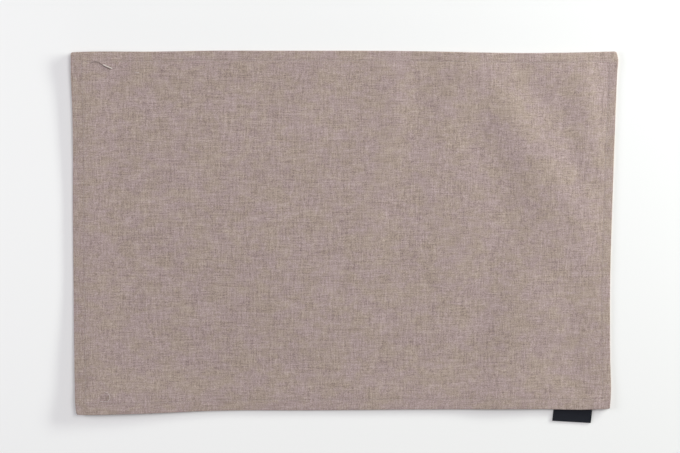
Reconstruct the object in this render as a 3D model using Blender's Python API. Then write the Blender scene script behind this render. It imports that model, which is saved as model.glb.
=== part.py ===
"""Fabric placemat: a hemmed cloth and its folded ribbon label, in metres with +Z up.

The cloth lies face up on the plane z = 0, with its centre at the origin and its long sides
along X. Every side is turned under twice and sewn down, so three layers run all round it.
It has not been ironed: a few folds fan out from the far side, and two corners stand up a
little. The label is a ribbon folded in two. Its ends lie under the hem of the near long
side, close to the right corner, and its fold sticks out past the edge.

Tables give places and heights in millimetres, and the functions that read them give metres.
"""

from collections import namedtuple
from math import cos, pi, radians, sin

import bmesh
import bpy
import numpy

MM = 0.001

# Cloth: finished size, and thickness of one layer, of the pressed hem and of its corners.
CLOTH_LENGTH = 450 * MM
CLOTH_WIDTH = 300 * MM
FIELD_THICKNESS = 1.0 * MM
HEM_THICKNESS = 2.2 * MM
HEM_CORNER_THICKNESS = 2.9 * MM

# Hem: the seam runs inside its turned edge and presses a groove into it.
HEM_PAST_SEAM = 1.5 * MM
HEM_STEP = 5.0 * MM
SEAM_GROOVE_DEPTH = 0.35 * MM
SEAM_GROOVE_HALF_WIDTH = 1.2 * MM
CORNER_CURVE_STATION = 3.0 * MM

Hem = namedtuple("Hem", "seam_inset")
HEMS = {
    "left": Hem(seam_inset=9.0 * MM),
    "right": Hem(seam_inset=7.3 * MM),
    "near": Hem(seam_inset=8.8 * MM),
    "far": Hem(seam_inset=7.9 * MM),
}

# How far each side wanders out of its straight line, at places along that side.
Wander = namedtuple("Wander", "place out")
WANDERS = {
    "far": [
        Wander(-225, -0.5), Wander(-208, 0.0), Wander(-160, 0.1), Wander(-110, 1.0),
        Wander(-60, 1.1), Wander(38, 1.2), Wander(71, 0.9), Wander(104, 0.3),
        Wander(150, -0.2), Wander(175, 0.1), Wander(204, 0.7), Wander(225, 1.4),
    ],
    "near": [
        Wander(-225, 0.9), Wander(-205, 1.1), Wander(-180, 0.8), Wander(-146, 0.0),
        Wander(-121, -0.8), Wander(-88, -1.1), Wander(-37, -0.6), Wander(64, -0.3),
        Wander(115, 0.0), Wander(160, 0.3), Wander(178, 0.6), Wander(197, 1.1),
        Wander(225, 0.6),
    ],
    "left": [
        Wander(-150, -1.5), Wander(-146, -0.9), Wander(-138, -0.3), Wander(-126, -0.2),
        Wander(-92, -0.1), Wander(-11, -0.2), Wander(28, -0.4), Wander(70, -1.0),
        Wander(102, -0.9), Wander(133, -0.1), Wander(150, -0.2),
    ],
    "right": [
        Wander(-150, 0.5), Wander(-136, 1.2), Wander(-109, 0.2), Wander(-68, -0.9),
        Wander(-40, -1.3), Wander(14, -1.0), Wander(68, -0.3), Wander(108, 0.3),
        Wander(134, 0.9), Wander(143, 1.3), Wander(150, -0.3),
    ],
}

# Radius of each corner in plan.
CORNER_RADII = {
    ("left", "far"): 2.0 * MM,
    ("right", "far"): 2.0 * MM,
    ("left", "near"): 2.0 * MM,
    ("right", "near"): 2.0 * MM,
}

# Folds that run down the cloth: where the crest is at each y, its height, and how far the
# cloth falls away on its left and right.
Crest = namedtuple("Crest", "y x height left right")
FOLDS = {
    "main": [
        Crest(150, 106, 0.6, 34, 34), Crest(135, 113, 1.3, 36, 38),
        Crest(110, 130, 2.8, 46, 44), Crest(80, 148, 3.4, 52, 43),
        Crest(50, 167, 3.2, 58, 38), Crest(35, 177, 3.1, 62, 35),
        Crest(15, 188, 2.5, 62, 30), Crest(-10, 193, 1.7, 58, 28),
        Crest(-45, 196, 0.9, 54, 26), Crest(-80, 196, 0.4, 40, 26),
        Crest(-110, 196, 0.0, 40, 26),
    ],
    "low": [
        Crest(20, 160, 0.2, 50, 46), Crest(-15, 160, 0.8, 48, 50),
        Crest(-40, 157, 1.3, 42, 52), Crest(-65, 152, 2.1, 42, 56),
        Crest(-90, 147, 2.0, 44, 58), Crest(-130, 137, 1.5, 46, 62),
        Crest(-150, 133, 1.2, 46, 62),
    ],
    "edge": [
        Crest(150, 193, 0.8, 50, 23), Crest(125, 194, 2.4, 56, 24),
        Crest(95, 198, 2.0, 50, 23), Crest(65, 200, 1.2, 40, 22),
        Crest(40, 205, 0.7, 34, 18), Crest(10, 206, 0.4, 30, 16),
        Crest(-20, 206, 0.0, 24, 16),
    ],
    "inner": [
        Crest(150, 97, 0.4, 40, 11), Crest(130, 95, 0.8, 38, 14),
        Crest(110, 89, 1.4, 38, 30), Crest(80, 90, 1.1, 40, 32),
        Crest(50, 100, 1.2, 70, 40), Crest(30, 102, 1.1, 66, 42),
        Crest(5, 100, 0.8, 50, 34), Crest(-25, 96, 0.6, 40, 28),
        Crest(-60, 93, 0.2, 30, 22), Crest(-90, 93, 0.0, 30, 22),
    ],
    "middle": [
        Crest(150, 40, 0.2, 30, 14), Crest(115, 40, 0.7, 34, 18),
        Crest(85, 39, 0.7, 34, 20), Crest(50, 30, 0.7, 30, 24),
        Crest(10, 20, 0.7, 28, 22), Crest(-30, 18, 0.0, 26, 16),
    ],
}

# Corners and stretches of the edge that stand up off the surface.
Rise = namedtuple("Rise", "x y reach_x reach_y height")
RISES = [
    Rise(x=-225, y=150, reach_x=75, reach_y=130, height=1.3),
    Rise(x=-225, y=-150, reach_x=110, reach_y=125, height=2.0),
    Rise(x=-165, y=-160, reach_x=85, reach_y=60, height=1.2),
    Rise(x=225, y=-150, reach_x=38, reach_y=55, height=0.7),
]

# Label: a ribbon folded in two, its sizes, and how it lies under the near hem.
LABEL_WIDTH = 33.0 * MM
LABEL_LENGTH = 20.0 * MM
RIBBON_THICKNESS = 0.35 * MM
LABEL_THICKNESS = 1.0 * MM
LABEL_TURN = radians(-5.0)
LABEL_FOLD_X = 193.2 * MM
LABEL_FOLD_Y = -161.9 * MM
LABEL_FOLD_SKEW = 0.35 * MM
FOLD_STEPS = 8

# Room that the hem leaves over the ribbon's ends, and how far it lifts the hem's top.
LABEL_CLEARANCE = 0.3 * MM
LABEL_ROOM_LEFT = 174.5 * MM
LABEL_ROOM_RIGHT = 213.0 * MM
LABEL_ROOM_EASE = 3.5 * MM
LABEL_RAISES_HEM = 0.4 * MM

# Spacing of the points across the field: wider where the cloth lies flat.
LEFT_FIELD_SPACING = 14 * MM
RIGHT_FIELD_SPACING = 7.5 * MM
RIGHT_FIELD_START = 15 * MM
FIELD_SPACING_ACROSS = 10.5 * MM

# Finishes: colour, roughness.
CLOTH_COLOUR = (0.377, 0.302, 0.273)
CLOTH_ROUGHNESS = 0.95
LABEL_COLOUR = (0.012, 0.012, 0.016)
LABEL_ROUGHNESS = 0.8


def clear_scene():
    """Remove every object of the file."""
    for old in list(bpy.data.objects):
        bpy.data.objects.remove(old, do_unlink=True)


def finish(name, colour, roughness):
    """A matt woven material."""
    material = bpy.data.materials.new(name)
    material.use_nodes = True
    shader = material.node_tree.nodes["Principled BSDF"]
    shader.inputs["Base Color"].default_value = (*colour, 1.0)
    shader.inputs["Roughness"].default_value = roughness
    shader.inputs["Metallic"].default_value = 0.0
    return material


def follow(table, column, place):
    """One column of a table at any place, on a smooth curve through its rows."""
    rows = sorted(table)
    places = numpy.array([row[0] for row in rows]) * MM
    values = numpy.array([getattr(row, column) for row in rows]) * MM
    slopes = numpy.gradient(values, places)
    row = numpy.clip(numpy.searchsorted(places, place) - 1, 0, len(rows) - 2)
    span = places[row + 1] - places[row]
    t = numpy.clip((place - places[row]) / span, 0.0, 1.0)
    start = values[row] * (1 + 2 * t) + slopes[row] * span * t
    end = values[row + 1] * (3 - 2 * t) - slopes[row + 1] * span * (1 - t)
    return start * (1 - t) ** 2 + end * t ** 2


def ease(t):
    """0 at or below 0, 1 at or above 1, and smooth between."""
    t = numpy.clip(t, 0.0, 1.0)
    return t * t * (3 - 2 * t)


def fold_height(crests, x, y):
    """Height of one fold: a rounded ridge along its line of crests."""
    height = numpy.maximum(follow(crests, "height", y), 0.0)
    off_crest = x - follow(crests, "x", y)
    flank = numpy.where(off_crest < 0, follow(crests, "left", y), follow(crests, "right", y))
    across = numpy.clip(off_crest / flank, -1.0, 1.0)
    return height * (1 + numpy.cos(pi * across)) / 2


def rise_height(rise, x, y):
    """Height of one raised corner or stretch: a soft dome cut by the cloth's edge."""
    along_x = (x - rise.x * MM) / (rise.reach_x * MM)
    along_y = (y - rise.y * MM) / (rise.reach_y * MM)
    return rise.height * MM * numpy.clip(1 - along_x ** 2 - along_y ** 2, 0.0, None) ** 2


def lift(x, y):
    """Height of the cloth's underside over the surface it lies on."""
    total = numpy.zeros_like(x)
    for crests in FOLDS.values():
        total += fold_height(crests, x, y)
    for rise in RISES:
        total += rise_height(rise, x, y)
    return total


def label_share(x, y):
    """1 where the ribbon's ends lie under the near hem, easing to 0 round them."""
    hem_end = HEMS["near"].seam_inset + SEAM_GROOVE_HALF_WIDTH
    field_start = HEMS["near"].seam_inset + HEM_PAST_SEAM + HEM_STEP
    depth = CLOTH_WIDTH / 2 + y
    across = numpy.minimum(x - LABEL_ROOM_LEFT, LABEL_ROOM_RIGHT - x) / LABEL_ROOM_EASE
    inward = (depth - hem_end) / (field_start - hem_end)
    return ease(1 + across) * ease(1 - inward)


def hem_share(depth, side):
    """1 on the hem of a side, easing to 0 where the single cloth meets the surface."""
    return ease(1 - (depth - HEMS[side].seam_inset - HEM_PAST_SEAM) / HEM_STEP)


def groove_share(depth, side):
    """1 on the seam line of a side, falling to 0 beside it."""
    off_seam = numpy.abs(depth - HEMS[side].seam_inset)
    return numpy.clip(1 - off_seam / SEAM_GROOVE_HALF_WIDTH, 0.0, 1.0)


def thickness(depths):
    """Thickness of the cloth, from the depth of each point inside the four sides."""
    ends = numpy.maximum(hem_share(depths["left"], "left"), hem_share(depths["right"], "right"))
    sides = numpy.maximum(hem_share(depths["near"], "near"), hem_share(depths["far"], "far"))
    hem = (HEM_THICKNESS - FIELD_THICKNESS) * numpy.maximum(ends, sides)
    corner = (HEM_CORNER_THICKNESS - HEM_THICKNESS) * ends * sides
    groove = numpy.zeros_like(hem)
    for side, depth in depths.items():
        groove = numpy.maximum(groove, groove_share(depth, side))
    return FIELD_THICKNESS + hem + corner - SEAM_GROOVE_DEPTH * groove


def round_corner(depth_a, depth_b, radius):
    """Pull the points of a square corner onto an arc. Gives both depths again."""
    a = numpy.clip(1 - depth_a / radius, 0.0, 1.0)
    b = numpy.clip(1 - depth_b / radius, 0.0, 1.0)
    pull_a = radius * a * (1 - numpy.sqrt(1 - b * b / 2))
    pull_b = radius * b * (1 - numpy.sqrt(1 - a * a / 2))
    return depth_a + pull_a, depth_b + pull_b


def edge_stations(side):
    """Depths of the rows of points that shape the turned edge, seam and hem of a side."""
    seam = HEMS[side].seam_inset
    fold = HEM_THICKNESS / 2
    return [
        0.0,
        fold * (1 - cos(pi / 4)),
        fold,
        CORNER_CURVE_STATION,
        seam - SEAM_GROOVE_HALF_WIDTH,
        seam,
        seam + SEAM_GROOVE_HALF_WIDTH,
        seam + HEM_PAST_SEAM + HEM_STEP,
    ]


def spread(start, end, spacing):
    """Evenly spaced places between two others, without them."""
    steps = max(1, round((end - start) / spacing))
    return [start + (end - start) * step / steps for step in range(1, steps)]


def stations_along():
    """Places of the columns of points, from the left side to the right."""
    left = [-CLOTH_LENGTH / 2 + depth for depth in edge_stations("left")]
    right = [CLOTH_LENGTH / 2 - depth for depth in edge_stations("right")]
    room_start = LABEL_ROOM_LEFT - LABEL_ROOM_EASE
    middle = spread(left[-1], RIGHT_FIELD_START, LEFT_FIELD_SPACING)
    middle += [RIGHT_FIELD_START]
    middle += spread(RIGHT_FIELD_START, room_start, RIGHT_FIELD_SPACING)
    middle += [room_start, LABEL_ROOM_LEFT]
    middle += spread(LABEL_ROOM_LEFT, right[-1], RIGHT_FIELD_SPACING)
    return numpy.array(sorted(left + middle + right + [LABEL_ROOM_RIGHT]))


def stations_across():
    """Places of the rows of points, from the near side to the far one."""
    near = [-CLOTH_WIDTH / 2 + depth for depth in edge_stations("near")]
    far = [CLOTH_WIDTH / 2 - depth for depth in edge_stations("far")]
    middle = spread(near[-1], far[-1], FIELD_SPACING_ACROSS)
    return numpy.array(sorted(near + middle + far))


def lay_out(x, y):
    """Move the points of the plain rectangle to the cloth's uneven outline."""
    half_length = CLOTH_LENGTH / 2
    half_width = CLOTH_WIDTH / 2
    for (end, side), radius in CORNER_RADII.items():
        way_x = 1 if end == "right" else -1
        way_y = 1 if side == "far" else -1
        depth_x, depth_y = round_corner(half_length - way_x * x, half_width - way_y * y, radius)
        here = (way_x * x > 0) & (way_y * y > 0)
        x = numpy.where(here, way_x * (half_length - depth_x), x)
        y = numpy.where(here, way_y * (half_width - depth_y), y)
    near_right = ease(x / half_length)
    near_left = ease(-x / half_length)
    near_far = ease(y / half_width)
    near_near = ease(-y / half_width)
    out_x = near_right * follow(WANDERS["right"], "out", y)
    out_x -= near_left * follow(WANDERS["left"], "out", y)
    out_y = near_far * follow(WANDERS["far"], "out", x)
    out_y -= near_near * follow(WANDERS["near"], "out", x)
    return x + out_x, y + out_y


def cloth_surfaces():
    """Plan position, top and underside of every point of the cloth's grid."""
    x, y = numpy.meshgrid(stations_along(), stations_across(), indexing="ij")
    depths = {
        "left": CLOTH_LENGTH / 2 + x,
        "right": CLOTH_LENGTH / 2 - x,
        "near": CLOTH_WIDTH / 2 + y,
        "far": CLOTH_WIDTH / 2 - y,
    }
    depth = numpy.minimum.reduce(list(depths.values()))
    share = label_share(x, y)
    room = (LABEL_THICKNESS + LABEL_CLEARANCE) * share
    under = numpy.maximum(lift(x, y), room)
    over = lift(x, y) + thickness(depths) + LABEL_RAISES_HEM * share
    middle = (over + under) / 2
    turned = numpy.clip(1 - depth / (HEM_THICKNESS / 2), 0.0, 1.0)
    half = (over - under) / 2 * numpy.sqrt(1 - turned ** 2)
    plan_x, plan_y = lay_out(x, y)
    return plan_x, plan_y, middle + half, middle - half


def make_cloth():
    """The cloth with its hem: one closed body between a top and an underside."""
    plan_x, plan_y, over, under = cloth_surfaces()
    columns, rows = plan_x.shape
    shape = bmesh.new()

    def corner_points(heights, shared):
        points = {}
        for column in range(columns):
            for row in range(rows):
                on_edge = column in (0, columns - 1) or row in (0, rows - 1)
                if on_edge and shared:
                    points[column, row] = shared[column, row]
                else:
                    place = (plan_x[column, row], plan_y[column, row], heights[column, row])
                    points[column, row] = shape.verts.new(place)
        return points

    top = corner_points(over, None)
    bottom = corner_points(under, top)
    for column in range(columns - 1):
        for row in range(rows - 1):
            ring = [(column, row), (column + 1, row), (column + 1, row + 1), (column, row + 1)]
            shape.faces.new([top[place] for place in ring])
            shape.faces.new([bottom[place] for place in reversed(ring)])
    return named_object("cloth", shape, finish("linen_look", CLOTH_COLOUR, CLOTH_ROUGHNESS))


def label_section():
    """Outline of the folded ribbon seen from its side, as (way in from the fold, height)."""
    outer = LABEL_THICKNESS / 2
    inner = outer - RIBBON_THICKNESS
    outline = [(LABEL_LENGTH, 0.0)]
    for step in range(FOLD_STEPS + 1):
        angle = pi * step / FOLD_STEPS
        outline.append((outer - outer * sin(angle), outer - outer * cos(angle)))
    outline += [(LABEL_LENGTH, 2 * outer), (LABEL_LENGTH, outer + inner)]
    for step in range(FOLD_STEPS + 1):
        angle = pi * (1 - step / FOLD_STEPS)
        outline.append((outer - inner * sin(angle), outer - inner * cos(angle)))
    outline.append((LABEL_LENGTH, outer - inner))
    return outline


def make_label():
    """The ribbon label: its folded section drawn across the ribbon's width."""
    shape = bmesh.new()
    outline = label_section()
    edges = []
    for side in (-1, 1):
        skew = side * LABEL_FOLD_SKEW
        points = []
        for inward, height in outline:
            at_fold = 1 - inward / LABEL_LENGTH
            along = inward + skew * at_fold
            points.append(shape.verts.new((side * LABEL_WIDTH / 2, along, height)))
        edges.append(points)
    left, right = edges
    count = len(outline)
    for step in range(count):
        after = (step + 1) % count
        shape.faces.new([left[step], right[step], right[after], left[after]])
    shape.faces.new(left)
    shape.faces.new(list(reversed(right)))
    bmesh.ops.recalc_face_normals(shape, faces=shape.faces)
    label = named_object("label", shape, finish("black_ribbon", LABEL_COLOUR, LABEL_ROUGHNESS))
    label.rotation_euler = (0.0, 0.0, LABEL_TURN)
    label.location = (LABEL_FOLD_X, LABEL_FOLD_Y, 0.0)
    return label


def named_object(name, shape, material):
    """An object of the given name made from a bmesh, shaded smooth over its soft bends."""
    mesh = bpy.data.meshes.new(name)
    shape.to_mesh(mesh)
    shape.free()
    mesh.materials.append(material)
    mesh.shade_smooth()
    mesh.set_sharp_from_angle(angle=radians(50))
    piece = bpy.data.objects.new(name, mesh)
    bpy.context.collection.objects.link(piece)
    return piece


clear_scene()
make_cloth()
make_label()
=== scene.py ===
"""Looks of the fabric placemat: its woven cloth, sewn hem, loose thread ends and ribbon label.

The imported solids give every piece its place. The cloth and the label are made again here in
a finer mesh, from the sizes that the solids were made from. The weave, the sewing and the
finishes, which the solids leave out, are added. Lengths are in metres with +Z up. Tables
give places and heights in millimetres, and the functions that read them give metres.
"""

from collections import namedtuple
from math import cos, pi, radians, sin

import bpy
import numpy
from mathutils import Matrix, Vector


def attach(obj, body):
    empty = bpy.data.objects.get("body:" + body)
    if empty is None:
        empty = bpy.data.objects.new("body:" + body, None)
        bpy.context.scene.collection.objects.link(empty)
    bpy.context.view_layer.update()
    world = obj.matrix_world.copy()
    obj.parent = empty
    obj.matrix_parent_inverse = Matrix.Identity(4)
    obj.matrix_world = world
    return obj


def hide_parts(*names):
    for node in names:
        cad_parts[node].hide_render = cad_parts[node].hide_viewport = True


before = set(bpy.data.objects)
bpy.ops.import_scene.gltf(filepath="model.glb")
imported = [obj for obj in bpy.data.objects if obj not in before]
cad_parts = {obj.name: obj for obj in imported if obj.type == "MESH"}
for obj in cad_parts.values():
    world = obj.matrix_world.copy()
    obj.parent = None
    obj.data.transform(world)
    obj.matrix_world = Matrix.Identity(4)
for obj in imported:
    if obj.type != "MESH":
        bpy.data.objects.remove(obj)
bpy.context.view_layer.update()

MM = 0.001

# ---- Cloth: shape ------------------------------------------------------------------------
# One cut of linen-look cloth, plain woven from uneven yarns. Each side is turned under twice
# and sewn down, so three layers run all round it and more at the corners. It lies unironed
# and face up: a few folds fan out from the far side, and two corners stand up a little.

CLOTH_LENGTH = 450 * MM
CLOTH_WIDTH = 300 * MM
FIELD_THICKNESS = 1.0 * MM
HEM_THICKNESS = 2.2 * MM
HEM_CORNER_THICKNESS = 2.9 * MM
HEM_PAST_SEAM = 1.5 * MM
HEM_SETTLE = 30.0 * MM
HEM_PUFF = 0.03 * MM
EDGE_ROUNDING = 0.45 * MM
HEM_LEDGE = 0.19 * MM
CORNER_STEEPNESS = 4
SHARP_ANGLE = radians(50)

# Lockstitch seam: how deep the thread presses into the cloth, deeper at needle holes, and the
# share of that on the underside. Each side was sewn with its own tension, which wanders along
# the seam.
SEAM_GROOVE_DEPTH = 0.07 * MM
SEAM_GROOVE_HALF_WIDTH = 1.2 * MM
NEEDLE_HOLE_DEPTH = 0.22 * MM
NEEDLE_HOLE_HALF_WIDTH = 0.7 * MM
PRESSED_UP_FROM_BELOW = 0.6
STITCHES_ALONG = 128
STITCHES_ACROSS = 84

Hem = namedtuple("Hem", "seam_inset tension")
HEMS = {
    "left": Hem(seam_inset=9.0 * MM, tension=0.35),
    "right": Hem(seam_inset=7.3 * MM, tension=0.65),
    "near": Hem(seam_inset=8.8 * MM, tension=0.8),
    "far": Hem(seam_inset=7.9 * MM, tension=1.1),
}

# How far each side wanders out of its straight line, at places along that side.
Wander = namedtuple("Wander", "place out")
WANDERS = {
    "far": [
        Wander(-225, -0.5), Wander(-208, 0.0), Wander(-160, 0.1), Wander(-110, 1.0),
        Wander(-60, 1.1), Wander(38, 1.2), Wander(71, 0.9), Wander(104, 0.3),
        Wander(150, -0.2), Wander(175, 0.1), Wander(204, 0.7), Wander(225, 1.4),
    ],
    "near": [
        Wander(-225, 0.9), Wander(-205, 1.1), Wander(-180, 0.8), Wander(-146, 0.0),
        Wander(-121, -0.8), Wander(-88, -1.1), Wander(-37, -0.6), Wander(64, -0.3),
        Wander(115, 0.0), Wander(160, 0.3), Wander(178, 0.6), Wander(197, 1.1),
        Wander(225, 0.6),
    ],
    "left": [
        Wander(-150, -1.5), Wander(-146, -0.9), Wander(-138, -0.3), Wander(-126, -0.2),
        Wander(-92, -0.1), Wander(-11, -0.2), Wander(28, -0.4), Wander(70, -1.0),
        Wander(102, -0.9), Wander(133, -0.1), Wander(150, -0.2),
    ],
    "right": [
        Wander(-150, 0.5), Wander(-136, 1.2), Wander(-109, 0.2), Wander(-68, -0.9),
        Wander(-40, -1.3), Wander(14, -1.0), Wander(68, -0.3), Wander(108, 0.3),
        Wander(134, 0.9), Wander(143, 1.3), Wander(150, -0.3),
    ],
}
CORNER_RADII = {
    ("left", "far"): 2.0 * MM,
    ("right", "far"): 2.0 * MM,
    ("left", "near"): 2.0 * MM,
    ("right", "near"): 2.0 * MM,
}

# Folds that run down the cloth: where the crest is at each y, its height, and how far the
# cloth falls away on its left and right.
Crest = namedtuple("Crest", "y x height left right")
FOLDS = {
    "main": [
        Crest(150, 106, 0.6, 34, 34), Crest(135, 113, 1.3, 36, 38),
        Crest(110, 130, 2.8, 46, 44), Crest(80, 148, 3.4, 52, 43),
        Crest(50, 167, 3.2, 58, 38), Crest(35, 177, 3.1, 62, 35),
        Crest(15, 188, 2.5, 62, 30), Crest(-10, 193, 1.7, 58, 28),
        Crest(-45, 196, 0.9, 54, 26), Crest(-80, 196, 0.4, 40, 26),
        Crest(-110, 196, 0.0, 40, 26),
    ],
    "low": [
        Crest(20, 160, 0.2, 50, 46), Crest(-15, 160, 0.8, 48, 50),
        Crest(-40, 157, 1.3, 42, 52), Crest(-65, 152, 2.1, 42, 56),
        Crest(-90, 147, 2.0, 44, 58), Crest(-130, 137, 1.5, 46, 62),
        Crest(-150, 133, 1.2, 46, 62),
    ],
    "edge": [
        Crest(150, 193, 0.8, 50, 23), Crest(125, 194, 2.4, 56, 24),
        Crest(95, 198, 2.0, 50, 23), Crest(65, 200, 1.2, 40, 22),
        Crest(40, 205, 0.7, 34, 18), Crest(10, 206, 0.4, 30, 16),
        Crest(-20, 206, 0.0, 24, 16),
    ],
    "inner": [
        Crest(150, 97, 0.4, 40, 11), Crest(130, 95, 0.8, 38, 14),
        Crest(110, 89, 1.4, 38, 30), Crest(80, 90, 1.1, 40, 32),
        Crest(50, 100, 1.2, 70, 40), Crest(30, 102, 1.1, 66, 42),
        Crest(5, 100, 0.8, 50, 34), Crest(-25, 96, 0.6, 40, 28),
        Crest(-60, 93, 0.2, 30, 22), Crest(-90, 93, 0.0, 30, 22),
    ],
    "middle": [
        Crest(150, 40, 0.2, 30, 14), Crest(115, 40, 0.7, 34, 18),
        Crest(85, 39, 0.7, 34, 20), Crest(50, 30, 0.7, 30, 24),
        Crest(10, 20, 0.7, 28, 22), Crest(-30, 18, 0.0, 26, 16),
    ],
}

# Corners and stretches of the edge that stand up off the surface.
Rise = namedtuple("Rise", "x y reach_x reach_y height")
RISES = [
    Rise(x=-225, y=150, reach_x=75, reach_y=130, height=1.3),
    Rise(x=-225, y=-150, reach_x=110, reach_y=125, height=2.0),
    Rise(x=-165, y=-160, reach_x=85, reach_y=60, height=1.2),
    Rise(x=225, y=-150, reach_x=38, reach_y=55, height=0.7),
]

# Room that the near hem leaves over the ribbon label, and how far it lifts the hem's top.
LABEL_THICKNESS = 1.0 * MM
LABEL_CLEARANCE = 0.3 * MM
LABEL_ROOM_LEFT = 174.5 * MM
LABEL_ROOM_RIGHT = 213.0 * MM
LABEL_ROOM_EASE = 3.5 * MM
LABEL_RAISES_HEM = 0.4 * MM

# Unevenness of soft cloth that was washed and not ironed: size across, height, seed.
Ripple = namedtuple("Ripple", "size height seed")
FIELD_RIPPLES = [Ripple(22 * MM, 0.07 * MM, 3), Ripple(9 * MM, 0.03 * MM, 4)]
SEAM_PUCKER = Ripple(7 * MM, 0.10 * MM, 5)
SEAM_TENSION = Ripple(11 * MM, 0.55, 6)
PUCKER_REACH = 8 * MM
RIPPLE_CELLS = 96

# Under the corners the hem of each end is folded over the hems of the long sides.
CORNER_FOLD_STEP = 0.45 * MM
CORNER_FOLD_EASE = 16 * MM

# Rows of mesh points: depths inside the turned edge, and distances before and past the seam.
ROWS_AT_EDGE = [0.0, 0.04 * MM, 0.13 * MM, 0.27 * MM, EDGE_ROUNDING, 1.1 * MM, 2.6 * MM, 4.8 * MM]
ROWS_BEFORE_SEAM = [1.2 * MM, 0.7 * MM, 0.35 * MM]
ROWS_PAST_SEAM = [0.35 * MM, 0.7 * MM, HEM_PAST_SEAM, HEM_PAST_SEAM + HEM_LEDGE]


def follow(table, column, place):
    """One column of a table at any place, on a smooth curve through its rows."""
    rows = sorted(table)
    places = numpy.array([row[0] for row in rows]) * MM
    values = numpy.array([getattr(row, column) for row in rows]) * MM
    slopes = numpy.gradient(values, places)
    row = numpy.clip(numpy.searchsorted(places, place) - 1, 0, len(rows) - 2)
    span = places[row + 1] - places[row]
    t = numpy.clip((place - places[row]) / span, 0.0, 1.0)
    start = values[row] * (1 + 2 * t) + slopes[row] * span * t
    end = values[row + 1] * (3 - 2 * t) - slopes[row + 1] * span * (1 - t)
    return start * (1 - t) ** 2 + end * t ** 2


def ease(t):
    """0 at or below 0, 1 at or above 1, and smooth between."""
    t = numpy.clip(t, 0.0, 1.0)
    return t * t * (3 - 2 * t)


def ripple(x, y, kind):
    """Smooth random heights, the same on each run, with bumps of about the size given."""
    lattice = numpy.random.default_rng(kind.seed).uniform(-1, 1, (RIPPLE_CELLS, RIPPLE_CELLS))
    across = x / kind.size + RIPPLE_CELLS / 2
    along = y / kind.size + RIPPLE_CELLS / 2
    column = numpy.floor(across).astype(int)
    row = numpy.floor(along).astype(int)
    right = ease(across - column)
    up = ease(along - row)
    low = lattice[column, row] * (1 - right) + lattice[column + 1, row] * right
    high = lattice[column, row + 1] * (1 - right) + lattice[column + 1, row + 1] * right
    return kind.height * (low * (1 - up) + high * up)


def fold_height(crests, x, y):
    """Height of one fold: a rounded ridge along its line of crests."""
    height = numpy.maximum(follow(crests, "height", y), 0.0)
    off_crest = x - follow(crests, "x", y)
    flank = numpy.where(off_crest < 0, follow(crests, "left", y), follow(crests, "right", y))
    across = numpy.clip(off_crest / flank, -1.0, 1.0)
    return height * (1 + numpy.cos(pi * across)) / 2


def rise_height(rise, x, y):
    """Height of one raised corner or stretch: a soft dome cut by the cloth's edge."""
    along_x = (x - rise.x * MM) / (rise.reach_x * MM)
    along_y = (y - rise.y * MM) / (rise.reach_y * MM)
    return rise.height * MM * numpy.clip(1 - along_x ** 2 - along_y ** 2, 0.0, None) ** 2


def lift(x, y):
    """Height of the cloth's underside over the surface it lies on."""
    total = numpy.zeros_like(x)
    for crests in FOLDS.values():
        total += fold_height(crests, x, y)
    for rise in RISES:
        total += rise_height(rise, x, y)
    return total


def depths_inside(x, y):
    """How far inside each of the four sides a point of the cloth is."""
    return {
        "left": CLOTH_LENGTH / 2 + x,
        "right": CLOTH_LENGTH / 2 - x,
        "near": CLOTH_WIDTH / 2 + y,
        "far": CLOTH_WIDTH / 2 - y,
    }


def label_share(x, y):
    """1 where the ribbon's ends lie under the near hem, easing to 0 round them."""
    label_end = HEMS["near"].seam_inset + HEM_PAST_SEAM
    depth = CLOTH_WIDTH / 2 + y
    across = numpy.minimum(x - LABEL_ROOM_LEFT, LABEL_ROOM_RIGHT - x) / LABEL_ROOM_EASE
    inward = (depth - label_end) / LABEL_ROOM_EASE
    return ease(1 + across) * ease(1 - inward)


def hem_share(depth, side):
    """1 on the hem of a side, easing to 0 where the single cloth comes down to the surface."""
    return ease(1 - (depth - HEMS[side].seam_inset - HEM_PAST_SEAM) / HEM_SETTLE)


def puff_share(depth, side):
    """1 midway between the turned edge and the seam, where the hem stands fullest."""
    between = numpy.clip(depth / HEMS[side].seam_inset, 0.0, 1.0)
    return numpy.sin(pi * between) ** 2


def seam_span(side):
    """Places along a side where its seam starts and ends, and how many stitches it has."""
    if side in ("near", "far"):
        start = HEMS["left"].seam_inset - CLOTH_LENGTH / 2
        return start, CLOTH_LENGTH / 2 - HEMS["right"].seam_inset, STITCHES_ALONG
    start = HEMS["near"].seam_inset - CLOTH_WIDTH / 2
    return start, CLOTH_WIDTH / 2 - HEMS["far"].seam_inset, STITCHES_ACROSS


def seam_dip(x, y, depths):
    """How deep the sewing presses into the cloth, along the seams and at needle holes."""
    deepest = numpy.zeros_like(x)
    wandering = 1 + ripple(x, y, SEAM_TENSION)
    for side, depth in depths.items():
        start, end, stitches = seam_span(side)
        along = x if side in ("near", "far") else y
        off_seam = numpy.abs(depth - HEMS[side].seam_inset)
        past_end = numpy.maximum(start - along, along - end)
        off_seam = numpy.hypot(off_seam, numpy.maximum(past_end, 0.0))
        groove = SEAM_GROOVE_DEPTH * ease(1 - off_seam / SEAM_GROOVE_HALF_WIDTH)
        at_hole = (1 + numpy.cos(2 * pi * (along - start) / (end - start) * stitches)) / 2
        hole = NEEDLE_HOLE_DEPTH * at_hole * ease(1 - off_seam / NEEDLE_HOLE_HALF_WIDTH)
        pressed = HEMS[side].tension * wandering * (groove + hole)
        deepest = numpy.maximum(deepest, pressed)
    return deepest


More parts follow.
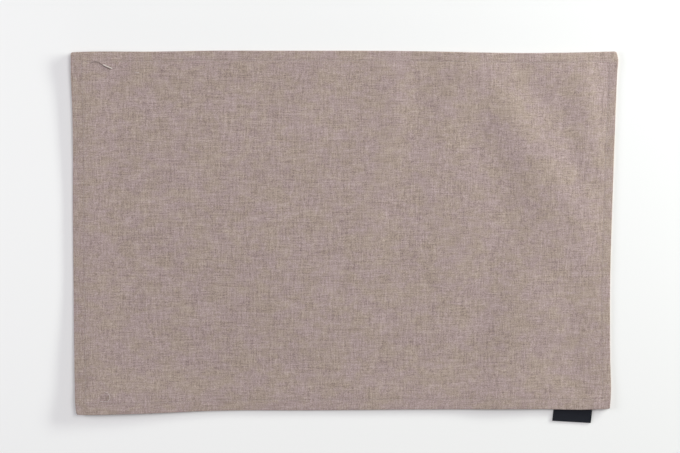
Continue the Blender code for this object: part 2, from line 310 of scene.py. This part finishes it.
def thickness(depths):
    """Thickness of the cloth where nothing presses on it."""
    ends = numpy.maximum(hem_share(depths["left"], "left"), hem_share(depths["right"], "right"))
    sides = numpy.maximum(hem_share(depths["near"], "near"), hem_share(depths["far"], "far"))
    hem = (HEM_THICKNESS - FIELD_THICKNESS) * (1 - (1 - ends) * (1 - sides))
    corner = (HEM_CORNER_THICKNESS - HEM_THICKNESS) * ends ** CORNER_STEEPNESS
    corner = corner * sides ** CORNER_STEEPNESS
    puff = numpy.maximum.reduce([puff_share(depth, side) for side, depth in depths.items()])
    return FIELD_THICKNESS + hem + corner + HEM_PUFF * puff


def corner_fold_height(depths):
    """How far the long sides' hems are held up beside the ends' hems folded over them."""
    height = numpy.zeros_like(depths["left"])
    for end in ("left", "right"):
        past_fold = depths[end] - HEMS[end].seam_inset - HEM_PAST_SEAM
        beside = numpy.where(past_fold > HEM_LEDGE / 2, ease(1 - past_fold / CORNER_FOLD_EASE), 0.0)
        height = numpy.maximum(height, CORNER_FOLD_STEP * beside)
    return height


def round_corner(depth_a, depth_b, radius):
    """Pull the points of a square corner onto an arc. Gives both depths again."""
    a = numpy.clip(1 - depth_a / radius, 0.0, 1.0)
    b = numpy.clip(1 - depth_b / radius, 0.0, 1.0)
    pull_a = radius * a * (1 - numpy.sqrt(1 - b * b / 2))
    pull_b = radius * b * (1 - numpy.sqrt(1 - a * a / 2))
    return depth_a + pull_a, depth_b + pull_b


def lay_out(x, y):
    """Move the points of the plain rectangle to the cloth's uneven outline."""
    half_length = CLOTH_LENGTH / 2
    half_width = CLOTH_WIDTH / 2
    for (end, side), radius in CORNER_RADII.items():
        way_x = 1 if end == "right" else -1
        way_y = 1 if side == "far" else -1
        depth_x, depth_y = round_corner(half_length - way_x * x, half_width - way_y * y, radius)
        here = (way_x * x > 0) & (way_y * y > 0)
        x = numpy.where(here, way_x * (half_length - depth_x), x)
        y = numpy.where(here, way_y * (half_width - depth_y), y)
    near_right = ease(x / half_length)
    near_left = ease(-x / half_length)
    near_far = ease(y / half_width)
    near_near = ease(-y / half_width)
    out_x = near_right * follow(WANDERS["right"], "out", y)
    out_x -= near_left * follow(WANDERS["left"], "out", y)
    out_y = near_far * follow(WANDERS["far"], "out", x)
    out_y -= near_near * follow(WANDERS["near"], "out", x)
    return x + out_x, y + out_y


def cloth_surfaces(x, y):
    """Plan position, top and underside of the cloth at points of its plain rectangle."""
    depths = depths_inside(x, y)
    past_hem = numpy.minimum.reduce(
        [depth - HEMS[side].seam_inset - HEM_PAST_SEAM for side, depth in depths.items()]
    )
    in_field = past_hem > HEM_LEDGE / 2
    on_side_hem = numpy.minimum(depths["near"] - HEMS["near"].seam_inset,
                                depths["far"] - HEMS["far"].seam_inset) < HEM_PAST_SEAM
    share = label_share(x, y)
    lying = lift(x, y)
    bumps = sum(ripple(x, y, kind) for kind in FIELD_RIPPLES)
    by_seam = ease(1 - numpy.abs(past_hem + HEM_PAST_SEAM) / PUCKER_REACH)
    bumps = bumps + ripple(x, y, SEAM_PUCKER) * by_seam
    over = lying + thickness(depths) + LABEL_RAISES_HEM * share + bumps
    room = (LABEL_THICKNESS + LABEL_CLEARANCE) * share
    hem_under = numpy.maximum(lying + corner_fold_height(depths) * on_side_hem, room)
    field_under = numpy.maximum(over - FIELD_THICKNESS, 0.0)
    under = numpy.where(in_field, field_under, hem_under)
    dip = seam_dip(x, y, depths)
    over = over - dip
    under = under + PRESSED_UP_FROM_BELOW * dip
    depth = numpy.minimum.reduce(list(depths.values()))
    turned = numpy.clip(1 - depth / EDGE_ROUNDING, 0.0, 1.0)
    middle = (over + under) / 2
    half = (over - under) / 2 * numpy.sqrt(1 - turned ** 2)
    plan_x, plan_y = lay_out(x, y)
    return plan_x, plan_y, middle + half, middle - half


def hem_rows(side):
    """Depths of the rows of points between the turned edge and the seam of a side."""
    return ROWS_AT_EDGE + [HEMS[side].seam_inset - before for before in ROWS_BEFORE_SEAM]


def grid_lines(start_side, end_side, stitches):
    """Places of the lines of points from one side to the other, and which the underside has."""
    half = CLOTH_LENGTH / 2 if start_side == "left" else CLOTH_WIDTH / 2
    start = HEMS[start_side].seam_inset - half
    end = half - HEMS[end_side].seam_inset
    both = [depth - half for depth in hem_rows(start_side)]
    both += [half - depth for depth in hem_rows(end_side)]
    both += [start + past for past in ROWS_PAST_SEAM]
    both += [end - past for past in ROWS_PAST_SEAM]
    lines = numpy.array(sorted(both + list(numpy.linspace(start, end, 2 * stitches + 1))))
    under = sorted(both + list(numpy.linspace(start, end, stitches + 1)))
    return lines, [int(numpy.argmin(numpy.abs(lines - place))) for place in under]


def steps(first, last, every):
    """Numbers of the grid lines from first up to last: all of them, or the first alone."""
    if not every:
        return [first]
    return list(range(first, last, 1 if last > first else -1))


def under_faces(columns, rows, last_column, last_row, number):
    """Faces of the coarser underside. Those on the rim take in every point of the top's rim."""
    faces = []
    for left, right in zip(columns, columns[1:]):
        for near, far in zip(rows, rows[1:]):
            ring = [(column, near) for column in steps(left, right, near == 0)]
            ring += [(right, row) for row in steps(near, far, right == last_column)]
            ring += [(column, far) for column in steps(right, left, far == last_row)]
            ring += [(left, row) for row in steps(far, near, left == 0)]
            faces.append([int(number[place]) for place in reversed(ring)])
    return faces


def make_cloth():
    """The cloth with its hem: one closed body between a fine top and a coarser underside."""
    lines_x, columns = grid_lines("left", "right", STITCHES_ALONG)
    lines_y, rows = grid_lines("near", "far", STITCHES_ACROSS)
    x, y = numpy.meshgrid(lines_x, lines_y, indexing="ij")
    plan_x, plan_y, over, under = cloth_surfaces(x, y)
    number = numpy.arange(x.size).reshape(x.shape)
    points = numpy.stack([plan_x, plan_y, over], axis=-1).reshape(-1, 3).tolist()
    quads = [number[:-1, :-1], number[1:, :-1], number[1:, 1:], number[:-1, 1:]]
    faces = numpy.stack(quads, axis=-1).reshape(-1, 4).tolist()
    under_number = number.copy()
    for column in columns[1:-1]:
        for row in rows[1:-1]:
            under_number[column, row] = len(points)
            points.append((plan_x[column, row], plan_y[column, row], under[column, row]))
    last_column = len(lines_x) - 1
    last_row = len(lines_y) - 1
    faces += under_faces(columns, rows, last_column, last_row, under_number)
    return mesh_object("woven_cloth", points, faces)


def mesh_object(name, points, faces):
    """An object made of the given points and faces, shaded smooth over soft bends."""
    mesh = bpy.data.meshes.new(name)
    mesh.from_pydata(points, [], faces)
    mesh.validate()
    mesh.shade_smooth()
    mesh.set_sharp_from_angle(angle=SHARP_ANGLE)
    piece = bpy.data.objects.new(name, mesh)
    bpy.context.collection.objects.link(piece)
    return piece


cloth = make_cloth()
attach(cloth, "root")
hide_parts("cloth")

# ---- Cloth: weave ------------------------------------------------------------------------
# A plain weave of taupe yarns, about 18 to the centimetre each way. No two yarns have quite
# the same shade, each one is thicker and darker in places, and they were dyed unevenly, so
# the cloth has fine streaks both ways under a faint mottle from mauve to olive.

YARN_PITCH = 0.56 * MM
LIGHT_YARN = (0.528, 0.411, 0.374)
DARK_YARN = (0.176, 0.117, 0.103)
MAUVE_TINT = (1.007, 0.994, 1.060)
OLIVE_TINT = (0.993, 1.006, 0.940)
CLOTH_ROUGHNESS = 0.85
CLOTH_SPECULAR = 0.5
CLOTH_SPECULAR_TINT = (0.86, 1.0, 0.95, 1.0)
CLOTH_SHEEN = 0.12

# Random unevenness: its size along x, y and z, how much finer detail it has, and how strong.
Noise = namedtuple("Noise", "size detail roughness")
WARP_SHADES = Noise((0.75 * MM, 11 * MM, 0.75 * MM), 1.0, 0.7)
WEFT_SHADES = Noise((13 * MM, 0.70 * MM, 0.70 * MM), 1.0, 0.7)
SLUBS = Noise((0.8 * MM, 0.8 * MM, 0.8 * MM), 1.0, 0.6)
DYE_MOTTLE = Noise((26 * MM, 19 * MM, 20 * MM), 3.0, 0.85)
NAP = Noise((0.25 * MM, 0.25 * MM, 0.25 * MM), 2.0, 0.5)

# How the shades are put together: the share of the top yarn over both, the share of the
# slubs, the ranges that give the whole span of colours, and how sharply two yarns part.
TOP_YARN_SHARE = 0.45
SLUB_SHARE = 0.45
SHADE_RANGE = (0.24, 0.76)
MOTTLE_RANGE = (0.34, 0.66)
YARNS_PART = (-0.25, 0.25)

# Relief of the weave, and how much a yarn's thickness and the nap add to it.
YARN_RELIEF = 0.10 * MM
YARN_ROUNDNESS = 0.5
RELIEF_OF_SHADE = 1.2
RELIEF_OF_NAP = 0.4
RELIEF_STRENGTH = 0.6


def add_node(tree, kind, values=None, **settings):
    """A node with its settings, and its inputs set to values or linked from other nodes."""
    node = tree.nodes.new(kind)
    for name, setting in settings.items():
        setattr(node, name, setting)
    for name, value in (values or {}).items():
        if isinstance(value, bpy.types.NodeSocket):
            tree.links.new(value, node.inputs[name])
        else:
            node.inputs[name].default_value = value
    return node


def object_place(tree):
    """Each point's place on the object, in metres."""
    return add_node(tree, "ShaderNodeTexCoord").outputs["Object"]


def maths(tree, operation, first, second=0.0):
    """Output of a Math node over two numbers or sockets."""
    return add_node(tree, "ShaderNodeMath", {0: first, 1: second}, operation=operation).outputs[0]


def smooth_share(tree, value, span):
    """0 at or below the start of a span, 1 at or above its end, and smooth between."""
    values = {"Value": value, 1: span[0], 2: span[1]}
    node = add_node(tree, "ShaderNodeMapRange", values, interpolation_type="SMOOTHSTEP")
    return node.outputs[0]


def blend(tree, share, first, second):
    """Two numbers mixed by a share of the second."""
    return add_node(tree, "ShaderNodeMix", {0: share, 2: first, 3: second}).outputs[0]


def blend_colours(tree, share, first, second, blend_type="MIX"):
    """Two colours mixed by a share of the second."""
    values = {0: share}
    node = add_node(tree, "ShaderNodeMix", values, data_type="RGBA", blend_type=blend_type)
    for socket, colour in ((node.inputs[6], first), (node.inputs[7], second)):
        if isinstance(colour, bpy.types.NodeSocket):
            tree.links.new(colour, socket)
        else:
            socket.default_value = (*colour, 1.0)
    return node.outputs[2]


def uneven(tree, place, noise):
    """Random value from 0 to 1, uneven in the way that is given."""
    values = {0: place, 1: tuple(1 / part for part in noise.size)}
    scaled = add_node(tree, "ShaderNodeVectorMath", values, operation="MULTIPLY").outputs[0]
    values = {"Vector": scaled, "Scale": 1.0, "Detail": noise.detail, "Roughness": noise.roughness}
    return add_node(tree, "ShaderNodeTexNoise", values).outputs[0]


def new_material(name, colour, roughness):
    """A material with one Principled shader. Gives the material, its tree and the shader."""
    material = bpy.data.materials.new(name)
    material.use_nodes = True
    shader = material.node_tree.nodes["Principled BSDF"]
    shader.inputs["Base Color"].default_value = (*colour, 1.0)
    shader.inputs["Roughness"].default_value = roughness
    return material, material.node_tree, shader


def add_relief(tree, shader, height, distance, strength):
    """Fine relief on a finish, from a height and the distance that 1 stands for."""
    values = {"Height": height, "Distance": distance, "Strength": strength}
    bump = add_node(tree, "ShaderNodeBump", values)
    tree.links.new(bump.outputs[0], shader.inputs["Normal"])


def woven_crossings(tree, place, pitch):
    """Plain weave: above 0.5 where a warp yarn is on top, and how high the top yarn stands."""
    split = add_node(tree, "ShaderNodeSeparateXYZ", {0: place})
    wave_x = maths(tree, "SINE", maths(tree, "MULTIPLY", split.outputs[0], pi / pitch))
    wave_y = maths(tree, "SINE", maths(tree, "MULTIPLY", split.outputs[1], pi / pitch))
    both = maths(tree, "MULTIPLY", wave_x, wave_y)
    height = maths(tree, "POWER", maths(tree, "ABSOLUTE", both), YARN_ROUNDNESS)
    return smooth_share(tree, both, YARNS_PART), height


def make_linen():
    """Linen-look weave: two sets of uneven yarns, mottled dye and a soft nap."""
    material, tree, shader = new_material("linen_look_weave", LIGHT_YARN, CLOTH_ROUGHNESS)
    place = object_place(tree)
    warp_on_top, yarn_height = woven_crossings(tree, place, YARN_PITCH)
    warp = uneven(tree, place, WARP_SHADES)
    weft = uneven(tree, place, WEFT_SHADES)
    top_yarn = blend(tree, warp_on_top, weft, warp)
    shade = blend(tree, TOP_YARN_SHARE, blend(tree, 0.5, weft, warp), top_yarn)
    shade = blend(tree, SLUB_SHARE, shade, uneven(tree, place, SLUBS))
    colour = blend_colours(tree, smooth_share(tree, shade, SHADE_RANGE), DARK_YARN, LIGHT_YARN)
    mottle = smooth_share(tree, uneven(tree, place, DYE_MOTTLE), MOTTLE_RANGE)
    tint = blend_colours(tree, mottle, MAUVE_TINT, OLIVE_TINT)
    colour = blend_colours(tree, 1.0, colour, tint, "MULTIPLY")
    tree.links.new(colour, shader.inputs["Base Color"])
    relief = maths(tree, "ADD", yarn_height, maths(tree, "MULTIPLY", shade, RELIEF_OF_SHADE))
    nap = maths(tree, "MULTIPLY", uneven(tree, place, NAP), RELIEF_OF_NAP)
    add_relief(tree, shader, maths(tree, "ADD", relief, nap), YARN_RELIEF, RELIEF_STRENGTH)
    shader.inputs["Specular IOR Level"].default_value = CLOTH_SPECULAR
    shader.inputs["Specular Tint"].default_value = CLOTH_SPECULAR_TINT
    shader.inputs["Sheen Weight"].default_value = CLOTH_SHEEN
    return material


linen = make_linen()
cloth.data.materials.append(linen)

# ---- Sewing thread -----------------------------------------------------------------------
# A lockstitch in polyester thread dyed to match, 3.4 mm a stitch, all round inside the hem's
# inner fold. It turns at the corners. The needle thread shows on the face as short stitches
# that dive into the holes, and the bobbin thread shows in the same way on the underside.

THREAD_RADIUS = 0.19 * MM
THREAD_SIDES = 6
THREAD_TAPER = (0.55, 0.92, 1.0)
STITCH_POINTS = 7
STITCH_DIVE = 0.34 * MM
STITCH_STAND = 0.10 * MM
STITCH_FLATNESS = 0.6
BOBBIN_SHARE = 0.6
THREAD_COLOUR = (0.400, 0.322, 0.294)
THREAD_DARKEST = 0.8
THREAD_LIGHTEST = 1.15
THREAD_SHADES = Noise((0.6 * MM, 0.6 * MM, 0.6 * MM), 0.0, 0.5)
THREAD_ROUGHNESS = 0.55
THREAD_SHEEN = 0.1
TWIST_LENGTH = 2.2 * MM
TWIST_RELIEF = 0.05 * MM
TWIST_STRENGTH = 0.6


def thread_tubes(paths, radius):
    """Points and faces of round threads that follow the paths and thin out at their ends."""
    points = []
    faces = []
    for path in paths:
        path = numpy.asarray(path)
        ways = numpy.gradient(path, axis=0)
        ways /= numpy.linalg.norm(ways, axis=1)[:, None]
        across = numpy.cross(ways, (0.0, 0.0, 1.0))
        across /= numpy.linalg.norm(across, axis=1)[:, None]
        above = numpy.cross(across, ways)
        first = len(points)
        for step in range(len(path)):
            from_end = min(step, len(path) - 1 - step)
            thick = radius * THREAD_TAPER[min(from_end, len(THREAD_TAPER) - 1)]
            for corner in range(THREAD_SIDES):
                turn = 2 * pi * corner / THREAD_SIDES
                offset = cos(turn) * across[step] + sin(turn) * above[step]
                points.append(tuple(path[step] + thick * offset))
        for step in range(len(path) - 1):
            for corner in range(THREAD_SIDES):
                after = (corner + 1) % THREAD_SIDES
                here = first + step * THREAD_SIDES
                there = here + THREAD_SIDES
                faces.append([here + corner, here + after, there + after, there + corner])
        last = first + (len(path) - 1) * THREAD_SIDES
        faces.append([first + corner for corner in reversed(range(THREAD_SIDES))])
        faces.append([last + corner for corner in range(THREAD_SIDES)])
    return points, faces


def seam_places(side):
    """Places on the plain rectangle of every point of every stitch of a side."""
    start, end, stitches = seam_span(side)
    pitch = (end - start) / stitches
    along = start + pitch * (numpy.arange(stitches)[:, None] + numpy.linspace(0, 1, STITCH_POINTS))
    inset = HEMS[side].seam_inset
    if side in ("near", "far"):
        line = inset - CLOTH_WIDTH / 2 if side == "near" else CLOTH_WIDTH / 2 - inset
        return along, numpy.full_like(along, line)
    line = inset - CLOTH_LENGTH / 2 if side == "left" else CLOTH_LENGTH / 2 - inset
    return numpy.full_like(along, line), along


def make_sewing():
    """All the stitches of the hem, on the face and on the underside, as one object."""
    arch = numpy.sin(pi * numpy.linspace(0, 1, STITCH_POINTS)) ** STITCH_FLATNESS
    paths = []
    for side in HEMS:
        x, y = seam_places(side)
        plan_x, plan_y, over, under = cloth_surfaces(x, y)
        stand = -STITCH_DIVE + (STITCH_DIVE + STITCH_STAND) * arch
        paths += list(numpy.stack([plan_x, plan_y, over + stand], axis=-1))
        below = numpy.maximum(under - stand * BOBBIN_SHARE, THREAD_RADIUS)
        paths += list(numpy.stack([plan_x, plan_y, below], axis=-1))
    points, faces = thread_tubes(paths, THREAD_RADIUS)
    return mesh_object("hem_sewing", points, faces)


def make_thread_finish(name, colour):
    """Twisted two-ply thread with a slight gloss."""
    material, tree, shader = new_material(name, colour, THREAD_ROUGHNESS)
    place = object_place(tree)
    values = {"Vector": place, "Scale": 1 / TWIST_LENGTH}
    twist = add_node(tree, "ShaderNodeTexWave", values, bands_direction="DIAGONAL")
    add_relief(tree, shader, twist.outputs["Fac"], TWIST_RELIEF, TWIST_STRENGTH)
    dark = tuple(part * THREAD_DARKEST for part in colour)
    light = tuple(part * THREAD_LIGHTEST for part in colour)
    shade = blend_colours(tree, uneven(tree, place, THREAD_SHADES), dark, light)
    tree.links.new(shade, shader.inputs["Base Color"])
    shader.inputs["Sheen Weight"].default_value = THREAD_SHEEN
    return material


sewing = make_sewing()
sewing.data.materials.append(make_thread_finish("matching_thread", THREAD_COLOUR))
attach(sewing, "root")

# ---- Loose thread ends -------------------------------------------------------------------
# The seam starts and ends at the far left corner. There a dark thread runs over the hem, and
# its cut end stands up pale. The dark thread goes on under the pale end as a painted shadow
# of it. Two bits of yarn from the cutting stay on the cloth: a straight fleck near that end,
# and a curl near a near corner.

LoosePoint = namedtuple("LoosePoint", "x y above")
# Dark thread over the hem. Its points past the pale cut end run under that end as its painted
# shadow.
DARK_THREAD_AND_SHADOW = [
    LoosePoint(-209.3, 140.3, -0.10), LoosePoint(-207.0, 141.4, 0.10),
    LoosePoint(-204.7, 142.0, 0.14), LoosePoint(-202.6, 141.4, 0.14),
    LoosePoint(-200.9, 140.5, 0.14), LoosePoint(-198.3, 138.6, 0.14),
    LoosePoint(-194.8, 136.4, 0.12), LoosePoint(-191.4, 135.4, -0.05),
]
THREAD_END = [
    LoosePoint(-198.8, 139.5, 0.05), LoosePoint(-197.1, 138.8, 0.35),
    LoosePoint(-195.2, 138.0, 0.60), LoosePoint(-193.2, 137.2, 0.60),
    LoosePoint(-191.0, 136.3, 0.45),
]
YARN_FLECK = [
    LoosePoint(-173.5, 133.5, 0.08), LoosePoint(-172.0, 133.2, 0.30),
    LoosePoint(-170.6, 133.2, 0.30), LoosePoint(-169.1, 133.1, 0.08),
]
CURLED_YARN = [
    LoosePoint(-204.3, -139.5, 0.10), LoosePoint(-200.5, -139.9, 0.30),
    LoosePoint(-197.2, -139.4, 0.50), LoosePoint(-195.8, -137.6, 0.70),
    LoosePoint(-195.8, -135.0, 0.75), LoosePoint(-197.2, -132.4, 0.55),
    LoosePoint(-200.2, -131.4, 0.15),
]
PALE_YARN_COLOUR = (0.72, 0.66, 0.61)
SOFT_YARN_COLOUR = (0.56, 0.48, 0.46)
# The dark thread's colour, which also paints the shadow under the pale end.
DARK_THREAD_AND_SHADOW_COLOUR = (0.185, 0.140, 0.125)
DARK_THREAD_AND_SHADOW_RADIUS = 0.25 * MM
THREAD_END_RADIUS = 0.32 * MM
FLECK_RADIUS = 0.19 * MM
CURL_RADIUS = 0.15 * MM
STEPS_A_POINT = 6
SMOOTHED_OVER = 7


def lay_thread(name, table, radius, finish):
    """One thread laid over the face of the cloth, smooth through the points of its table."""
    reach = numpy.linspace(0, len(table) - 1, STEPS_A_POINT * len(table))
    window = numpy.full(SMOOTHED_OVER, 1 / SMOOTHED_OVER)
    places = []
    for column in ("x", "y", "above"):
        values = numpy.array([getattr(point, column) for point in table]) * MM
        straight = numpy.interp(reach, numpy.arange(len(table)), values)
        padded = numpy.pad(straight, SMOOTHED_OVER // 2, "edge")
        places.append(numpy.convolve(padded, window, "valid"))
    x, y, above = places
    surface = cloth_surfaces(x, y)[2]
    path = numpy.stack([x, y, surface + above], axis=-1)
    points, faces = thread_tubes([path], radius)
    piece = mesh_object(name, points, faces)
    piece.data.materials.append(finish)
    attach(piece, "root")
    return piece


pale_yarn = make_thread_finish("pale_yarn", PALE_YARN_COLOUR)
soft_yarn = make_thread_finish("soft_yarn", SOFT_YARN_COLOUR)
dark_thread_and_shadow = make_thread_finish("dark_thread_and_shadow", DARK_THREAD_AND_SHADOW_COLOUR)
loose_threads = [
    # The dark thread, which goes on under the pale end as its painted shadow.
    lay_thread("dark_thread_and_painted_shadow", DARK_THREAD_AND_SHADOW, DARK_THREAD_AND_SHADOW_RADIUS, dark_thread_and_shadow),
    lay_thread("loose_thread_end", THREAD_END, THREAD_END_RADIUS, pale_yarn),
    lay_thread("loose_yarn_fleck", YARN_FLECK, FLECK_RADIUS, soft_yarn),
    lay_thread("loose_yarn_curl", CURLED_YARN, CURL_RADIUS, soft_yarn),
]

# ---- Ribbon label ------------------------------------------------------------------------
# A short length of plain black woven ribbon, folded in two. Its ends are caught by the seam
# under the near hem, close to the right corner, and its fold sticks out past the edge. Its
# face is bare. The woven edges are a little thicker than the rest.

LABEL_WIDTH = 33.0 * MM
LABEL_LENGTH = 20.0 * MM
RIBBON_THICKNESS = 0.35 * MM
LABEL_TURN = radians(-5.0)
LABEL_FOLD_X = 193.2 * MM
LABEL_FOLD_Y = -161.9 * MM
LABEL_FOLD_SKEW = 0.35 * MM
LABEL_FOLD_STEPS = 12
LABEL_ROWS = 40
LABEL_COLUMNS = 66
SELVEDGE_WIDTH = 0.8 * MM
SELVEDGE_EXTRA = 0.06 * MM
SELVEDGE_ROUNDING = 0.05 * MM
SELVEDGE_RIM = 0.45
RIBBON_COLOUR = (0.004, 0.004, 0.007)
# Lighter colour on the yarns' crowns: a painted highlight, scaled by real yarn-to-yarn unevenness.
# The gaps between yarns keep the black as painted shade.
RIBBON_CROWN_HIGHLIGHT_AND_YARN_COLOUR = (0.008, 0.009, 0.014)
RIBBON_ROUGHNESS = 0.6
RIBBON_SPECULAR = 0.25
RIBBON_SPECULAR_TINT = (0.82, 0.87, 1.0, 1.0)
RIBBON_SHEEN = 0.03
RIBBON_YARNS = Noise((6 * MM, 0.35 * MM, 0.35 * MM), 1.0, 0.5)
RIB_PITCH = 0.35 * MM
RIB_RELIEF = 0.05 * MM
RIB_STRENGTH = 0.7


def ribbon_section():
    """Middle line of the folded ribbon from its side, as rows of way in, height, and facing."""
    radius = LABEL_THICKNESS / 2 - RIBBON_THICKNESS / 2
    middle = LABEL_THICKNESS / 2
    flat = numpy.linspace(LABEL_LENGTH, middle, LABEL_ROWS)
    rows = [(way_in, middle - radius, 0.0, -1.0) for way_in in flat[:-1]]
    for step in range(LABEL_FOLD_STEPS + 1):
        angle = pi * step / LABEL_FOLD_STEPS
        out, up = sin(angle), -cos(angle)
        rows.append((middle - radius * out, middle + radius * up, -out, up))
    rows += [(way_in, middle + radius, 0.0, 1.0) for way_in in reversed(flat[:-1])]
    return numpy.array(rows)


def make_label():
    """The ribbon: its folded section drawn across its width, with thicker woven edges."""
    section = ribbon_section()
    across = numpy.linspace(-LABEL_WIDTH / 2, LABEL_WIDTH / 2, LABEL_COLUMNS + 1)
    from_edge = LABEL_WIDTH / 2 - numpy.abs(across)
    half = RIBBON_THICKNESS / 2 + SELVEDGE_EXTRA * ease(1 - from_edge / SELVEDGE_WIDTH)
    half = half * numpy.where(from_edge < SELVEDGE_ROUNDING, SELVEDGE_RIM, 1.0)
    points = []
    for way_in, height, face_in, face_up in section:
        at_fold = 1 - way_in / LABEL_LENGTH
        for facing in (1, -1):
            for place, thick in zip(across, half):
                skew = 2 * place / LABEL_WIDTH * LABEL_FOLD_SKEW * at_fold
                inward = way_in + skew + facing * thick * face_in
                points.append((place, inward, max(height + facing * thick * face_up, 0.0)))
    wide = LABEL_COLUMNS + 1
    faces = []
    for row in range(len(section) - 1):
        outer = 2 * wide * row
        inner = outer + wide
        for column in range(LABEL_COLUMNS):
            ring = [outer + column, outer + column + 1]
            faces.append(ring + [ring[1] + 2 * wide, ring[0] + 2 * wide])
            ring = [inner + column + 1, inner + column]
            faces.append(ring + [ring[1] + 2 * wide, ring[0] + 2 * wide])
        for column in (0, LABEL_COLUMNS):
            ring = [outer + column, inner + column, inner + column + 2 * wide]
            ring.append(outer + column + 2 * wide)
            faces.append(ring if column else ring[::-1])
    for row in (0, len(section) - 1):
        outer = 2 * wide * row
        for column in range(LABEL_COLUMNS):
            ring = [outer + column, outer + column + 1]
            ring += [outer + wide + column + 1, outer + wide + column]
            faces.append(ring if row else ring[::-1])
    label = mesh_object("ribbon_label", points, faces)
    label.rotation_euler = (0.0, 0.0, LABEL_TURN)
    label.location = (LABEL_FOLD_X, LABEL_FOLD_Y, 0.0)
    return label


def make_ribbon():
    """Black ribbon: fine ribs under a satin gloss, with painted shade in the gaps between yarns and
    painted highlight on their crowns, uneven from yarn to yarn.
    """
    material, tree, shader = new_material("black_ribbon_weave", RIBBON_COLOUR, RIBBON_ROUGHNESS)
    place = object_place(tree)
    yarn_height = woven_crossings(tree, place, RIB_PITCH)[1]
    # Painted shade and highlight: darkest in the gaps between yarns, lighter on their crowns, and
    # uneven from yarn to yarn.
    share = maths(tree, "MULTIPLY", yarn_height, uneven(tree, place, RIBBON_YARNS))
    colour = blend_colours(tree, share, RIBBON_COLOUR, RIBBON_CROWN_HIGHLIGHT_AND_YARN_COLOUR)
    tree.links.new(colour, shader.inputs["Base Color"])
    add_relief(tree, shader, yarn_height, RIB_RELIEF, RIB_STRENGTH)
    shader.inputs["Specular IOR Level"].default_value = RIBBON_SPECULAR
    shader.inputs["Specular Tint"].default_value = RIBBON_SPECULAR_TINT
    shader.inputs["Sheen Weight"].default_value = RIBBON_SHEEN
    return material


label = make_label()
label.data.materials.append(make_ribbon())
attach(label, "root")
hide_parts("label")

# ---- Floor -------------------------------------------------------------------------------
# The placemat lies on a large sheet of matt white card, with painted shade that greys it a
# little towards the lamps.

FLOOR_SIZE = 4.0
# The card's white, and the painted shade that greys it towards the lamps along that way and over
# that span.
CARD_AWAY_FROM_LAMPS = (0.900, 0.882, 0.873)
CARD_PAINTED_SHADE_TOWARDS_LAMPS = (0.800, 0.786, 0.785)
CARD_SHADE_PAINTED_TOWARDS = (0.82, 0.58, 0.0)
CARD_SHADE_PAINTED_OVER = (-0.30, 0.30)
CARD_ROUGHNESS = 0.75
CARD_SPECULAR = 0.2


def make_floor():
    """A large sheet of matt white card, with painted shade that greys it a little towards the
    lamps.
    """
    half = FLOOR_SIZE / 2
    corners = [(-half, -half, 0.0), (half, -half, 0.0), (half, half, 0.0), (-half, half, 0.0)]
    floor = mesh_object("floor", corners, [[0, 1, 2, 3]])
    material, tree, shader = new_material("white_card", CARD_AWAY_FROM_LAMPS, CARD_ROUGHNESS)
    # Painted shade: the card greys towards the lamps, against their stronger light there.
    values = {0: object_place(tree), 1: CARD_SHADE_PAINTED_TOWARDS}
    towards = add_node(tree, "ShaderNodeVectorMath", values, operation="DOT_PRODUCT").outputs[1]
    share = smooth_share(tree, towards, CARD_SHADE_PAINTED_OVER)
    colour = blend_colours(tree, share, CARD_AWAY_FROM_LAMPS, CARD_PAINTED_SHADE_TOWARDS_LAMPS)
    tree.links.new(colour, shader.inputs["Base Color"])
    shader.inputs["Specular IOR Level"].default_value = CARD_SPECULAR
    floor.data.materials.append(material)
    return floor


floor = make_floor()

# ---- Light and camera --------------------------------------------------------------------
# Soft studio light: a long low softbox from the right and behind, which draws the folds and
# throws the shadow at the left edge, a second one high over it, a reflector on the left, a
# very low one in front, and pale light from all round. The camera looks almost straight down.

Lamp = namedtuple("Lamp", "name azimuth elevation distance width height power colour")
LAMPS = [
    Lamp("low_softbox", 26, 13, 1.5, 1.0, 0.20, 31.0, (0.930, 1.0, 0.940)),
    Lamp("far_softbox", 38, 60, 1.7, 0.9, 0.8, 10.8, (1.0, 1.0, 1.0)),
    Lamp("left_reflector", 172, 26, 1.80, 0.9, 0.7, 16.0, (0.90, 0.93, 1.0)),
    Lamp("near_reflector", 262, 4, 2.40, 1.4, 0.2, 8.5, (1.0, 1.0, 1.0)),
]
FILL_STRENGTH = 0.285
FILL_COLOUR = (0.985, 0.98, 1.0)
CAMERA_PLACE = (-0.10818, 0.19125, 1.55575)
CAMERA_TURN = (radians(-6.80536), radians(-3.78573), radians(0.25629))
CAMERA_LENS = 100.0
CAMERA_SENSOR = 36.0


def add_lamp(lamp):
    """A rectangular softbox that faces the middle of the cloth."""
    data = bpy.data.lights.new(lamp.name, "AREA")
    data.energy = lamp.power
    data.color = lamp.colour
    data.shape = "RECTANGLE"
    data.size = lamp.width
    data.size_y = lamp.height
    azimuth = radians(lamp.azimuth)
    elevation = radians(lamp.elevation)
    towards = Vector((cos(azimuth) * cos(elevation), sin(azimuth) * cos(elevation), sin(elevation)))
    holder = bpy.data.objects.new(lamp.name, data)
    holder.location = towards * lamp.distance
    holder.rotation_euler = towards.to_track_quat("Z", "Y").to_euler()
    bpy.context.collection.objects.link(holder)


for lamp in LAMPS:
    add_lamp(lamp)

world = bpy.data.worlds.new("studio_fill")
world.use_nodes = True
world.node_tree.nodes["Background"].inputs["Color"].default_value = (*FILL_COLOUR, 1.0)
world.node_tree.nodes["Background"].inputs["Strength"].default_value = FILL_STRENGTH
bpy.context.scene.world = world
bpy.context.scene.view_settings.view_transform = "Standard"

camera_data = bpy.data.cameras.new("camera")
camera_data.lens = CAMERA_LENS
camera_data.sensor_width = CAMERA_SENSOR
camera = bpy.data.objects.new("camera", camera_data)
camera.location = CAMERA_PLACE
camera.rotation_euler = CAMERA_TURN
bpy.context.collection.objects.link(camera)
bpy.context.scene.camera = camera
